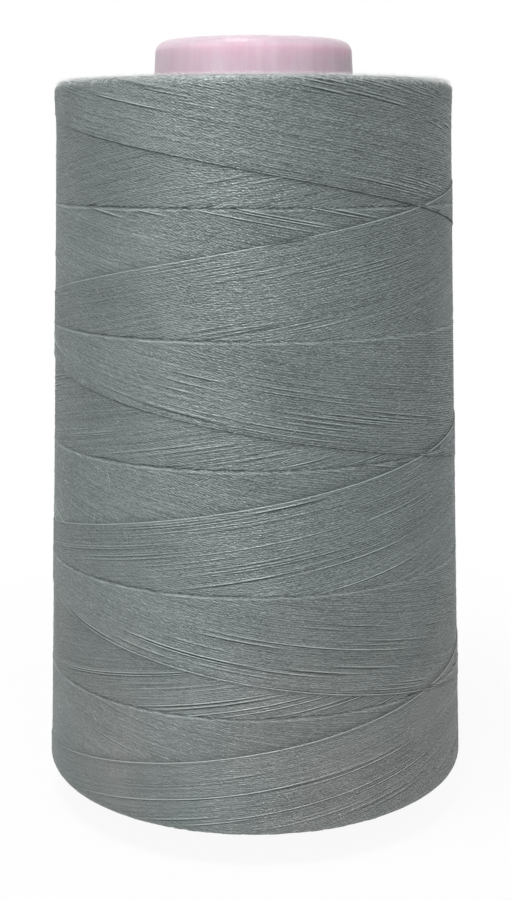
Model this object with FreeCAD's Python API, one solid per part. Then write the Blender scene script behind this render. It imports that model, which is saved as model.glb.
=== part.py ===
import FreeCAD, Part
import math
import os

# A cone of sewing thread: one length of thread wound criss-cross on a moulded plastic core.
# Millimetres and degrees. +Z runs up the axis from the foot to the nose. The origin is on the
# axis in the plane of the foot's rim, on which the cone stands.

# The core, a tapered tube moulded in one piece
core_length = 170.0
core_half_angle = 3.5
foot_bore_diameter = 59.0
core_wall = 2.1
foot_rim_round = 0.5

# The core's nose, where the wall turns in to a lip round the opening
nose_round = 2.6
nose_opening_diameter = 34.0
lip_depth = 4.0
lip_edge_round = 0.8
lip_root_round = 1.0

# The winding: every stroke lays the thread over the same stretch of the core
foot_bare = 7.0
traverse = 154.0
winding_foot_diameter = 96.3
winding_foot_round = 2.5
winding_nose_round = 1.8

# The bunch: the first turns of the thread, wound tight on the bare foot before the strokes began
thread_diameter = 0.25
bunch_turns = 9
bunch_layers = 2
bunch_to_winding = 1.5

# Worked out from the sizes above
taper = math.tan(math.radians(core_half_angle))
wall_across = core_wall / math.cos(math.radians(core_half_angle))
opening_radius = nose_opening_diameter / 2


def bore_radius(z):
    """The radius of the core's inside at height z, below the lip."""
    return foot_bore_diameter / 2 - z * taper


def core_radius(z):
    """The radius of the core's outside at height z, below the nose's rounding."""
    return bore_radius(z) + wall_across


def end_face_point(z, radius):
    """The point where the core's outside meets a winding end face that has its outer edge at (radius, z).

    The strokes turn round on a line square to the core's wall, so the end face leans by the
    core's half angle: the step down is the radial width times the taper. That width grows
    as the core widens on the way down, so both are solved for together.
    """
    width = (radius - core_radius(z)) / (1 + taper * taper)
    return radius - width, z - width * taper


def rounded_outline(corners):
    """A closed wire in the XZ plane through corners (r, z, rounding), with a tangent arc at each rounding."""
    count = len(corners)
    starts = []
    ends = []
    arcs = []
    for i in range(count):
        r, z, rounding = corners[i]
        here = FreeCAD.Vector(r, 0, z)
        before = FreeCAD.Vector(corners[i - 1][0], 0, corners[i - 1][1]) - here
        after = FreeCAD.Vector(corners[(i + 1) % count][0], 0, corners[(i + 1) % count][1]) - here
        before.normalize()
        after.normalize()
        half = before.getAngle(after) / 2
        cut = rounding / math.tan(half)
        middle = (before + after).normalize()
        starts.append(here + before * cut)
        ends.append(here + after * cut)
        if rounding > 0:
            crown = here + middle * (rounding / math.sin(half) - rounding)
            arcs.append(Part.Arc(starts[i], crown, ends[i]).toShape())
        else:
            arcs.append(None)
    edges = []
    for i in range(count):
        if arcs[i] is not None:
            edges.append(arcs[i])
        edges.append(Part.LineSegment(ends[i], starts[(i + 1) % count]).toShape())
    return Part.Wire(edges)


def turned(corners):
    """The solid that an outline makes when it is turned once round the axis."""
    face = Part.Face(rounded_outline(corners))
    return face.revolve(FreeCAD.Vector(0, 0, 0), FreeCAD.Vector(0, 0, 1), 360)


def core():
    """The moulded core: one tapered wall, a plain foot rim and a nose that turns in to a lip."""
    lip_foot = core_length - lip_depth
    return turned([
        (bore_radius(0), 0, foot_rim_round),
        (core_radius(0), 0, foot_rim_round),
        (core_radius(core_length), core_length, nose_round),
        (opening_radius, core_length, lip_edge_round),
        (opening_radius, lip_foot, lip_edge_round),
        (bore_radius(lip_foot), lip_foot, lip_root_round),
    ])


def winding():
    """The wound thread as one body, seated on the core's wall.

    The strokes leave as much thread on each millimetre of the core at the nose as at the foot,
    so the ring of thread has the same area all the way up: the outside radius squared less the
    core's radius squared is constant. That makes the winding taper less than its core.
    """
    foot_z = foot_bare
    nose_z = foot_bare + traverse
    foot_radius = winding_foot_diameter / 2
    ring = foot_radius ** 2 - core_radius(foot_z) ** 2
    nose_radius = math.sqrt(core_radius(nose_z) ** 2 + ring)
    foot_seat = end_face_point(foot_z, foot_radius)
    nose_seat = end_face_point(nose_z, nose_radius)
    return turned([
        (foot_seat[0], foot_seat[1], 0),
        (foot_radius, foot_z, winding_foot_round),
        (nose_radius, nose_z, winding_nose_round),
        (nose_seat[0], nose_seat[1], 0),
    ])


def bunch():
    """The start bunch: turns side by side in flat layers on the bare foot, one thread's height a layer."""
    seat_z = end_face_point(foot_bare, winding_foot_diameter / 2)[1]
    top = seat_z - bunch_to_winding
    bottom = top - bunch_turns * thread_diameter
    height = bunch_layers * thread_diameter
    edge_round = thread_diameter / 2
    return turned([
        (core_radius(bottom), bottom, 0),
        (core_radius(bottom) + height, bottom, edge_round),
        (core_radius(top) + height, top, edge_round),
        (core_radius(top), top, 0),
    ])


nodes = {
    "core": core(),
    "thread_winding": winding(),
    "start_bunch": bunch(),
}

os.makedirs("parts", exist_ok=True)
for name, shape in nodes.items():
    if not shape.isValid() or len(shape.Solids) != 1 or shape.Volume <= 0:
        raise ValueError(name + " isn't one sound solid")
    shape.exportStep("parts/" + name + ".step")
    box = shape.BoundBox
    print(name, round(shape.Volume / 1000, 2), "cm3, z", round(box.ZMin, 3), "to", round(box.ZMax, 3),
          ", radius", round(box.XMax, 3))
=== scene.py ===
"""Looks of a cone of sewing thread: one thread wound on a moulded core in crossing strokes.

Everything is in metres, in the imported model's frame: +Z runs up the axis from the foot to the nose.
Angles round the axis are counted from the front, which faces the camera, and grow to the right.

The thread is modelled as it was wound. The core turned at a steady rate while the thread was led
up and down it, three turns to a stroke. Each stroke began a little further round than the last one
of its kind, so after one cycle of strokes the whole surface is covered. A stroke's age says how
much of the cycle has gone by since it was laid: 0 is the newest and 1 is about to be covered.
At every point the younger of the rising and the falling thread shows.

To that come threads that stand proud here and there, the turns on the winding's end faces, loose
fibres, and the first turns of the thread on the bare foot.
"""

import logging
import math
from dataclasses import dataclass, field
from enum import Enum

import bpy
import numpy as np
from bpy.types import Material, Node, NodeSocket, NodeTree, Object
from mathutils import Matrix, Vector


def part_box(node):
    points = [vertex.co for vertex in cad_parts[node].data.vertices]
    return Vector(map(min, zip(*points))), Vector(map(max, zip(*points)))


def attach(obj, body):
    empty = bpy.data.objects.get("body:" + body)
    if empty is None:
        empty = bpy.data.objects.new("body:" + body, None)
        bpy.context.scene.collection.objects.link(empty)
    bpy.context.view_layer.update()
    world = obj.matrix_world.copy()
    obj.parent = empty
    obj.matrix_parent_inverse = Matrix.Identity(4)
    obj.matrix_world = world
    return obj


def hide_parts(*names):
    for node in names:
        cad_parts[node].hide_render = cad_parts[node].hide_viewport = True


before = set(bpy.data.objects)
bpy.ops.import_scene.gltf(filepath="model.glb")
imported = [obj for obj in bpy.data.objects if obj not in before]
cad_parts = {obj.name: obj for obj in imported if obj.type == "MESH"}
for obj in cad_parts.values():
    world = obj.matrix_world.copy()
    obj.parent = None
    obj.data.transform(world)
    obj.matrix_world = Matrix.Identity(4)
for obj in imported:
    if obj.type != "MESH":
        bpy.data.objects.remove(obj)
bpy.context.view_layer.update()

Array = np.ndarray
Colour = tuple[float, float, float, float]
Span = tuple[float, float]

MM = 0.001
TURN = 2 * math.pi
THREAD_HALF_WIDTH = 0.15 * MM
THREAD_HALF_HEIGHT = 0.105 * MM
BODY = "root"
TWIST_MAP = "along_and_around"
BAKE_MAP = "OFBake"
# Each thread's tone, and above 1 a painted highlight.
TONE_AND_HIGHLIGHT = "tone"
# Painted shade in crevices and under proud threads, from 0 to 1.
PAINTED_SHADE = "painted_shade"

log = logging.getLogger("thread_cone")


class Family(Enum):
    """Which way a stroke carries the thread along the core."""

    RISING = "rising"
    FALLING = "falling"


class End(Enum):
    """The two ends of the cone."""

    FOOT = "foot"
    NOSE = "nose"


class Slot(Enum):
    """The record's material slots."""

    CORE = "core_plastic"
    THREAD = "thread"


def unit(v: Array) -> Array:
    """Vectors scaled to length 1."""
    return v / np.maximum(np.linalg.norm(v, axis=-1, keepdims=True), 1e-12)


def ease(x: Array) -> Array:
    """A smooth step from 0 to 1 as x goes from 0 to 1."""
    t = np.clip(x, 0, 1)
    return t * t * (3 - 2 * t)


def bell(x: Array, middle: float | Array, reach: float | Array, power: int = 2) -> Array:
    """A bell curve of x: 1 at its middle, and 1/e at its reach to both sides. A higher power is flatter."""
    return np.exp(-(((x - middle) / reach) ** power))


def place(angle: Array, radius: Array, z: Array) -> Array:
    """Points at angles from the front, at radii and at heights. The front faces -Y."""
    across, deep, up = np.broadcast_arrays(radius * np.sin(angle), -radius * np.cos(angle), z)
    return np.stack([across, deep, up], axis=-1)


def ragged(counts: Array) -> tuple[Array, Array]:
    """Numbers a ragged set of rows laid end to end.

    Args:
        counts: how many places each row has.

    Returns:
        For each place its row, and its number within that row.
    """
    row = np.repeat(np.arange(len(counts)), counts)
    first = np.cumsum(counts) - counts
    return row, np.arange(len(row)) - first[row]


@dataclass(frozen=True)
class ConeShape:
    """The sizes of the core and of the winding on it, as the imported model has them.

    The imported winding's side lies half way down the thread's relief, so the newest strokes stand
    proud of it.
    """

    half_angle: float = math.radians(3.5)
    length: float = 170 * MM
    foot_bore_radius: float = 29.5 * MM
    wall: float = 2.1 * MM
    foot_rim_round: float = 0.5 * MM
    nose_round: float = 2.6 * MM
    opening_radius: float = 17 * MM
    lip_depth: float = 4 * MM
    lip_edge_round: float = 0.8 * MM
    lip_root_round: float = 1 * MM
    foot_z: float = 7 * MM
    traverse: float = 154 * MM
    foot_radius: float = 48.15 * MM
    foot_edge_round: float = 2.5 * MM
    nose_edge_round: float = 1.8 * MM
    proud: float = 0.30 * MM
    waist: float = 0.12 * MM
    nose_swell: float = 0.3 * MM
    nose_swell_reach: float = 6 * MM

    @property
    def taper(self) -> float:
        """How much the core narrows for each unit of height."""
        return math.tan(self.half_angle)

    @property
    def nose_z(self) -> float:
        """The height of the winding's outer edge at the nose end."""
        return self.foot_z + self.traverse

    @property
    def nose_radius(self) -> float:
        """The winding's radius at the nose, where the ring of thread has the same area as at the foot."""
        ring = self.foot_radius**2 - self.core_radius(self.foot_z) ** 2
        return math.sqrt(self.core_radius(self.nose_z) ** 2 + ring)

    @property
    def lean(self) -> float:
        """How far the winding's side leans back from the upright, as an angle."""
        return math.atan((self.foot_radius - self.nose_radius) / self.traverse)

    def bore_radius(self, z: float) -> float:
        """The radius of the core's inside at height z, below the lip."""
        return self.foot_bore_radius - z * self.taper

    def core_radius(self, z: float) -> float:
        """The radius of the core's outside at height z, below the nose's rounding."""
        return self.bore_radius(z) + self.wall / math.cos(self.half_angle)

    def side(self, z: Array) -> Array:
        """The winding's side, edges left out.

        It is a line between the two end radii, less a parabola that is deepest half way up, plus a
        bell curve at the nose, where the strokes turn back and the thread piles up a little.

        Args:
            z: heights.

        Returns:
            The radius at each height.
        """
        up = (z - self.foot_z) / self.traverse
        line = self.foot_radius + (self.nose_radius - self.foot_radius) * up
        swell = self.nose_swell * bell(z, self.nose_z, self.nose_swell_reach)
        return line - self.waist * 4 * up * (1 - up) + swell

    def full_turn(self, end: End) -> float:
        """The angle that the winding's outside turns through at an edge, from its side to its end face."""
        onto_face = self.half_angle - self.lean
        return math.pi / 2 + (onto_face if end is End.NOSE else -onto_face)

    def edge_round(self, end: End) -> float:
        """The radius of the winding's edge at one end."""
        return self.nose_edge_round if end is End.NOSE else self.foot_edge_round

    def skin(self, level: Array) -> tuple[Array, Array, Array]:
        """The winding's outside along its meridian.

        Between the edges a level is a height. From the start of an edge's rounding on, levels
        measure the way round the arc, and past the arc the way in along the end face, which
        leans by the core's half angle so that it meets the core's wall squarely.

        Args:
            level: places along the meridian.

        Returns:
            The radius, the height, and the angle of the outward normal above the level.
        """
        below = 1 - (level - self.foot_z) / self.foot_edge_round
        above = 1 - (self.nose_z - level) / self.nose_edge_round
        foot_turn = np.clip(below, 0, self.full_turn(End.FOOT))
        nose_turn = np.clip(above, 0, self.full_turn(End.NOSE))
        inward = np.clip(below - foot_turn, 0, None) * self.foot_edge_round
        inward = inward + np.clip(above - nose_turn, 0, None) * self.nose_edge_round
        start = np.clip(level, self.foot_z + self.foot_edge_round, self.nose_z - self.nose_edge_round)
        edge = np.where(level > self.foot_z + self.traverse / 2, self.nose_edge_round, self.foot_edge_round)
        tilt = self.lean + nose_turn - foot_turn
        radius = self.side(start) + edge * (np.cos(tilt) - math.cos(self.lean))
        z = start + edge * (np.sin(tilt) - math.sin(self.lean))
        return radius - inward * math.cos(self.half_angle), z - inward * math.sin(self.half_angle), tilt

    def face_reach(self, end: End) -> float:
        """How far levels run on past an edge until the end face meets the core."""
        run = (self.full_turn(end) - 1) * self.edge_round(end)
        level = self.nose_z + run if end is End.NOSE else self.foot_z - run
        radius, z, _ = self.skin(np.array(level))
        return run + (float(radius) - self.core_radius(float(z))) * math.cos(self.half_angle)

    def on_skin(self, level: Array, angle: Array, depth: Array) -> tuple[Array, Array]:
        """Points under the winding's outside.

        Args:
            level: places along the meridian.
            angle: angles round the axis.
            depth: how far each point lies below the outside, square to it.

        Returns:
            The points and the outward normals there.
        """
        radius, z, tilt = self.skin(level)
        outward = place(angle, np.cos(tilt), np.sin(tilt))
        return place(angle, radius, z) - outward * (depth - self.proud)[..., None], outward


@dataclass(frozen=True)
class StrokeLaw:
    """How the thread was led up and down the core."""

    shape: ConeShape
    turns: int = 3
    cycle: int = 200
    front_age: float = 0.86
    turn_back: float = 0.35 * MM
    layer: float = 0.15 * MM

    @property
    def lead(self) -> float:
        """The height that a stroke gains in one turn."""
        return self.shape.traverse / self.turns

    @property
    def band(self) -> float:
        """The height between two of the circles on which rising and falling threads have the same age."""
        return self.lead / 2

    @property
    def climb(self) -> float:
        """The sine of a thread's angle to the level, half way up the winding."""
        round_way = math.pi * (self.shape.foot_radius + self.shape.nose_radius)
        return self.lead / math.hypot(self.lead, round_way)

    def level(self, family: Family, travel: Array) -> Array:
        """The level that a stroke has reached.

        The stroke is straight and each end is a hyperbola, so that the thread turns back in a
        short smooth bend. Travel below 0 runs back out of the bend, along the stroke before.

        Args:
            family: which way the stroke goes.
            travel: how far it has come, counted along the axis from where it turned back.

        Returns:
            Levels on the winding's skin.
        """
        whole, bend = self.shape.traverse, self.turn_back
        stretched = travel * (whole + 2 * bend) / whole
        near = np.hypot(stretched, bend) - bend
        far = whole + bend - np.hypot(whole + 2 * bend - stretched, bend)
        gone = np.where(travel < whole / 2, near, far)
        return self.shape.foot_z + gone if family is Family.RISING else self.shape.nose_z - gone

    def angle(self, travel: Array, age: Array) -> Array:
        """The angle round the axis that a stroke of some age has reached: a turn for each lead of travel."""
        return TURN * (age - self.front_age + 0.5 + travel / self.lead)

    def sink(self, travel: Array, age: Array, number: int) -> Array:
        """How deep a thread that shows lies under the newest one.

        At the circle where it comes up it is as old as the threads that cross it there, and two
        families have laid a thread each since. Further on, more of the other family lie on it.

        Args:
            travel: how far along the stroke each place is.
            age: the stroke's age.
            number: which of the bands it shows in, counted from where the stroke began.

        Returns:
            Depths, a layer's height for each cycle of strokes.
        """
        gone = np.clip(travel / self.band - number, 0, 1 - age)
        return self.layer * (2 * age + gone)


@dataclass(frozen=True)
class Cluster:
    """Threads of one family near one place that stand proud of their neighbours for a while.

    The angle is in degrees from the front. Every other size is in millimetres: the travel along
    the axis from the circle where the threads come up, the height over which they are spread, and
    the reach of each to both sides along itself.
    """

    angle: float
    travel: float
    spread: float
    lines: int
    reach: float
    strength: float


# Where the front shows such threads, for each family and band. A row gives the fields of a cluster.
CLUSTERS: dict[tuple[Family, int], tuple[tuple[float, ...], ...]] = {
    (Family.FALLING, 0): (
        (-52, 3.0, 1.5, 3, 8, 0.35), (-35, 5.2, 0.4, 1, 11, 0.9), (-30, 6.2, 0.3, 1, 5, 0.7),
        (-23, 3.5, 0.3, 1, 5, 0.6), (-15, 5.9, 0.3, 1, 5, 0.6), (-9, 4.9, 0.3, 1, 16, 1.0),
        (4, 4.2, 0.3, 1, 8, 0.9), (18, 1.2, 0.8, 3, 7, 0.8), (24, 3.4, 0.6, 2, 5, 0.9),
        (37, 4.3, 0.8, 2, 9, 0.6), (33, 1.6, 0.8, 3, 7, 0.8), (50, 2.2, 0.9, 3, 7, 0.6),
        (-12, 2.3, 0.6, 2, 5, 0.5), (-30, 1.8, 0.7, 2, 6, 0.5), (25, 15, 2.0, 3, 8, 0.25),
        (50, 22.0, 4.0, 7, 11, 0.6)),
    (Family.FALLING, 1): (
        (-42, 1.0, 0.3, 1, 5, 0.9), (-27, 0.9, 0.3, 1, 3, 0.6), (0, 2.1, 0.4, 1, 14, 1.0),
        (7, 1.5, 0.8, 2, 9, 1.0), (27, 1.2, 0.7, 2, 8, 0.8)),
    (Family.FALLING, 2): (
        (-38, 11.5, 0.8, 2, 12, 0.5), (-22, 13.5, 1.5, 3, 12, 0.6), (-14, 11.8, 0.8, 2, 8, 0.6),
        (8, 17.5, 2.0, 5, 14, 0.45), (-12, 14.4, 1.8, 4, 10, 0.6), (-13, 6.9, 0.4, 1, 4, 1.0),
        (-15, 8.2, 0.4, 1, 5, 0.8), (-20, 9.6, 0.4, 1, 3, 0.7), (15, 10.7, 1.0, 2, 17, 0.55),
        (28, 16.5, 5.0, 8, 11, 0.55), (46, 21.6, 1.0, 2, 8, 0.9), (50, 10, 4.0, 3, 6, 0.4)),
    (Family.FALLING, 3): ((-52, 12.0, 0.8, 2, 5, 0.3), (36, 0.5, 0.3, 1, 5, 0.6)),
    (Family.FALLING, 4): (
        (-53, 10.6, 0.8, 2, 8, 0.6), (-38, 10.3, 0.8, 2, 6, 0.6), (-17, 12.0, 1.2, 3, 15, 0.9),
        (-34, 11.8, 1.0, 3, 12, 0.5), (-8, 14.6, 1.0, 2, 12, 0.5), (36, 12.5, 2.0, 3, 9, 0.5),
        (-15, 10.0, 0.3, 1, 6, 0.6), (-4, 9.1, 0.4, 1, 11, 0.9), (17, 11.0, 0.4, 1, 22, 0.9),
        (26, 7.6, 0.8, 2, 7, 0.6), (13, 15.8, 1.2, 3, 9, 0.8), (30, 16.6, 0.4, 1, 8, 0.7),
        (41, 22.5, 1.5, 3, 6, 0.6), (51, 12.5, 2.5, 2, 7, 0.4), (5, 19.1, 0.2, 1, 70, 0.6)),
    (Family.FALLING, 5): ((-39, 8.8, 0.4, 1, 6, 0.4),),
    (Family.RISING, 5): ((-3, 5.5, 2.0, 3, 5, 0.4), (12, 1.7, 1.0, 3, 8, 0.7)),
    (Family.RISING, 4): (
        (-35, 4.5, 3.0, 3, 8, 0.25), (-5, 2.6, 2.5, 6, 6, 0.5), (10, 3.2, 2.5, 5, 6, 0.45),
        (0, 14.5, 6.0, 10, 10, 0.4), (20, 13.5, 5.0, 8, 10, 0.4), (5, 19.5, 0.3, 1, 7, 0.8)),
    (Family.RISING, 3): (
        (-55, 4.6, 1.5, 3, 9, 0.3), (-16, 4.3, 1.5, 3, 12, 0.55), (-5, 2.5, 1.5, 4, 7, 0.5),
        (15, 1.8, 0.4, 1, 5, 1.0), (33, 1.6, 0.6, 2, 5, 0.6)),
    (Family.RISING, 2): (
        (-40, 6.6, 3.0, 5, 15, 0.4), (-10, 15.0, 3.0, 8, 14, 0.5), (-4, 3.3, 0.4, 1, 10, 1.0),
        (0, 7.0, 5.0, 8, 14, 0.45), (0, 10.3, 0.5, 1, 20, 0.6), (7, 18.4, 0.3, 1, 9, 1.0),
        (23, 6.7, 0.4, 1, 11, 0.6), (33, 2.7, 0.4, 1, 13, 0.8), (44, 15.6, 1.2, 2, 8, 0.5),
        (56, 1.2, 0.5, 1, 5, 0.7)),
    (Family.RISING, 1): (
        (-42, 6.0, 0.8, 2, 22, 0.6), (-15, 2.9, 0.4, 1, 17, 0.8), (-20, 6.0, 2.0, 3, 8, 0.35),
        (-8, 2.3, 1.0, 2, 15, 0.8), (5, 2.5, 0.5, 1, 12, 0.8), (18, 2.0, 0.7, 2, 9, 0.9),
        (36, 0.8, 0.4, 1, 4, 0.6)),
    (Family.RISING, 0): (
        (-15, 3.2, 1.2, 3, 8, 0.6), (-9, 9.2, 0.4, 1, 31, 0.8), (-5, 13.5, 0.5, 1, 4, 0.5),
        (15, 7.5, 0.4, 1, 28, 0.8), (25, 5.0, 2.0, 4, 10, 0.4), (26, 13.5, 0.7, 2, 14, 0.7),
        (41, 10.0, 0.4, 1, 9, 0.9), (41, 4.8, 1.0, 2, 6, 0.6)),
}


def new_object(name: str, co: Array, corners: Array, sizes: Array) -> Object:
    """Makes a smooth mesh object from flat arrays.

    Args:
        name: the piece's name.
        co: vertex places, one row each.
        corners: the vertex numbers of all faces, end to end.
        sizes: how many corners each face has.

    Returns:
        The object, linked to the scene, with its place in its mesh.
    """
    mesh = bpy.data.meshes.new(name)
    mesh.vertices.add(len(co))
    mesh.vertices.foreach_set("co", np.ascontiguousarray(co, np.float32).ravel())
    mesh.loops.add(len(corners))
    mesh.loops.foreach_set("vertex_index", corners.astype(np.int32))
    mesh.polygons.add(len(sizes))
    mesh.polygons.foreach_set("loop_start", (np.cumsum(sizes) - sizes).astype(np.int32))
    mesh.polygons.foreach_set("use_smooth", np.ones(len(sizes), bool))
    mesh.update(calc_edges=True)
    made = bpy.data.objects.new(name, mesh)
    bpy.context.scene.collection.objects.link(made)
    return made


def add_map(piece: Object, name: str, uv: Array) -> None:
    """Gives a piece a UV map, with one row of uv for each face corner."""
    layer = piece.data.uv_layers.new(name=name)
    layer.uv.foreach_set("vector", np.ascontiguousarray(uv, np.float32).ravel())


def add_values(piece: Object, name: str, values: Array) -> None:
    """Gives each vertex of a piece a value that its finish reads by name."""
    attribute = piece.data.attributes.new(name, "FLOAT", "POINT")
    attribute.data.foreach_set("value", np.ascontiguousarray(values, np.float32))


def lathe(name: str, outline: Array, around: int) -> Object:
    """Turns a closed outline once round the axis.

    Args:
        name: the piece's name.
        outline: radius and height, one row a point, counter-clockwise with the axis at the left.
        around: how many columns of faces the turn has.

    Returns:
        The closed piece. Its vertices are the outline's points at equal angles.
    """
    angle = np.arange(around) * TURN / around
    co = place(angle[None, :], outline[:, :1], outline[:, 1:]).reshape(-1, 3)
    i, j = np.meshgrid(np.arange(len(outline)), np.arange(around), indexing="ij")
    up, on = (i + 1) % len(outline), (j + 1) % around
    corners = np.stack([i * around + j, i * around + on, up * around + on, up * around + j], -1)
    return new_object(name, co, corners.ravel(), np.full(i.size, 4))


def rounded(corners: list[tuple[float, float, float]], steps: int) -> Array:
    """A closed outline with rounded corners.

    Args:
        corners: radius, height and rounding of each corner.
        steps: how many edges each rounding has.

    Returns:
        Points on the outline. At a corner they run along the circle that touches both its sides.
    """
    points = np.array([corner[:2] for corner in corners])
    share = np.linspace(0, 1, steps + 1)[:, None]
    found = []
    for number, (_, _, rounding) in enumerate(corners):
        here = points[number]
        before = unit(points[number - 1] - here)
        after = unit(points[(number + 1) % len(corners)] - here)
        half = math.acos(float(np.clip(before @ after, -1, 1))) / 2
        centre = here + unit(before + after) * rounding / math.sin(half)
        first = here + before * rounding / math.tan(half) - centre
        last = here + after * rounding / math.tan(half) - centre
        found.append(centre + rounding * unit(first * (1 - share) + last * share))
    return np.concatenate(found)


@dataclass
class Strands:
    """Many lengths of thread, which become closed tubes in one mesh.

    The arrays have one row for each place along a length, with the lengths end to end, apart from
    count and start, which have one value for each length. The tone goes from -1 to 1, for a darker
    or lighter thread, and above 1 it is a painted highlight. The painted shade goes from 0 to 1,
    darkest where the thread lies in a crevice or under a proud neighbour.
    """

    centre: Array
    outward: Array
    count: Array
    tone: Array
    start: Array
    # Painted shade, from 0 to 1.
    painted_shade: Array | None = None
    half_width: float = THREAD_HALF_WIDTH
    half_height: float = THREAD_HALF_HEIGHT
    sides: int = 6

    def build(self, name: str) -> Object:
        """Makes the tubes.

        Each place gets a ring of vertices, an ellipse square to the thread's direction, whose short
        axis points out of the winding. Quads join the rings, and a face closes each end.

        Args:
            name: the piece's name.

        Returns:
            The piece, with the map that the twist follows, the bake's map, each thread's tone with its
            painted highlight, and its painted shade.
        """
        row, number = ragged(self.count)
        index = np.arange(len(row))
        last = number == self.count[row] - 1
        ahead = np.where(last, index, index + 1)
        behind = np.where(number == 0, index, index - 1)
        along = unit(self.centre[ahead] - self.centre[behind])
        across = unit(np.cross(self.outward, along))
        out = np.cross(along, across)
        turn = np.arange(self.sides) / self.sides * TURN
        ring = np.cos(turn)[None, :, None] * across[:, None] * self.half_width
        ring = ring + np.sin(turn)[None, :, None] * out[:, None] * self.half_height
        co = (self.centre[:, None] + ring).reshape(-1, 3)

        first = np.cumsum(self.count) - self.count
        i = index[~last][:, None]
        j = np.arange(self.sides)[None, :]
        k = (j + 1) % self.sides
        near, far = i * self.sides, (i + 1) * self.sides
        quads = np.stack([near + j, near + k, far + k, far + j], -1).reshape(-1, 4)
        heads = first[:, None] * self.sides + j[:, ::-1]
        tails = (first + self.count - 1)[:, None] * self.sides + j
        corners = np.concatenate([quads.ravel(), heads.ravel(), tails.ravel()])
        sizes = np.concatenate([np.full(len(quads), 4), np.full(2 * len(first), self.sides)])
        piece = new_object(name, co, corners, sizes)

        closing = np.zeros((heads.size + tails.size, 2))
        add_map(piece, TWIST_MAP, np.concatenate([self.twist_map(behind, first, row, i, j), closing]))
        add_map(piece, BAKE_MAP, np.concatenate([self.flat_map(co, quads, i, j), closing]))
        # Tone, with painted highlight where it goes above 1.
        add_values(piece, TONE_AND_HIGHLIGHT, np.repeat(self.tone, self.sides))
        # Painted shade, which the finish mixes toward near black.
        painted_shade = np.zeros(len(row)) if self.painted_shade is None else self.painted_shade
        add_values(piece, PAINTED_SHADE, np.repeat(painted_shade, self.sides))
        return piece

    def twist_map(self, behind: Array, first: Array, row: Array, i: Array,
                  j: Array) -> Array:
        """Maps the tubes' faces by the way along the thread, in metres, and the turns round it.

        Args:
            behind: the place before each place.
            first: the first place of each length.
            row: the length that each place is on.
            i: the place that each face starts at.
            j: the number of each face round its tube.

        Returns:
            One row for each face corner.
        """
        gone = np.cumsum(np.linalg.norm(self.centre - self.centre[behind], axis=1))
        run = gone - gone[first][row] + self.start[row]
        near, far, side = np.broadcast_arrays(run[i], run[i + 1], j / self.sides)
        next_side = side + 1 / self.sides
        along = np.stack([near, near, far, far], -1)
        around = np.stack([side, next_side, next_side, side], -1)
        return np.stack([along, around], -1).reshape(-1, 2)

    def flat_map(self, co: Array, quads: Array, i: Array, j: Array) -> Array:
        """Lays the tubes' outer faces flat by angle and height, and their hidden faces in a strip below.

        Args:
            co: the vertices.
            quads: the tubes' faces.
            i: the place that each face starts at.
            j: the number of each face round its tube.

        Returns:
            One row for each face corner, inside the unit square.
        """
        strip, margin = 0.02, 0.01
        angle = np.arctan2(co[:, 0], -co[:, 1])
        away = np.hypot(co[:, 0], co[:, 1])
        level = away if np.ptp(co[:, 2]) < np.ptp(away) / 2 else co[:, 2]
        level = (level - level.min()) / np.ptp(level)
        base = angle[quads[:, :1]]
        step = (angle[quads] - base + math.pi) % TURN - math.pi
        x = margin + (base / TURN % 1 + step / TURN) * (1 - 2 * margin)
        hidden = np.broadcast_to(j >= self.sides // 2, (len(i), self.sides)).reshape(-1, 1)
        y = np.where(hidden, level[quads] * strip / 2, strip + level[quads] * (1 - strip))
        return np.stack([x, y], -1).reshape(-1, 2)


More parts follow.
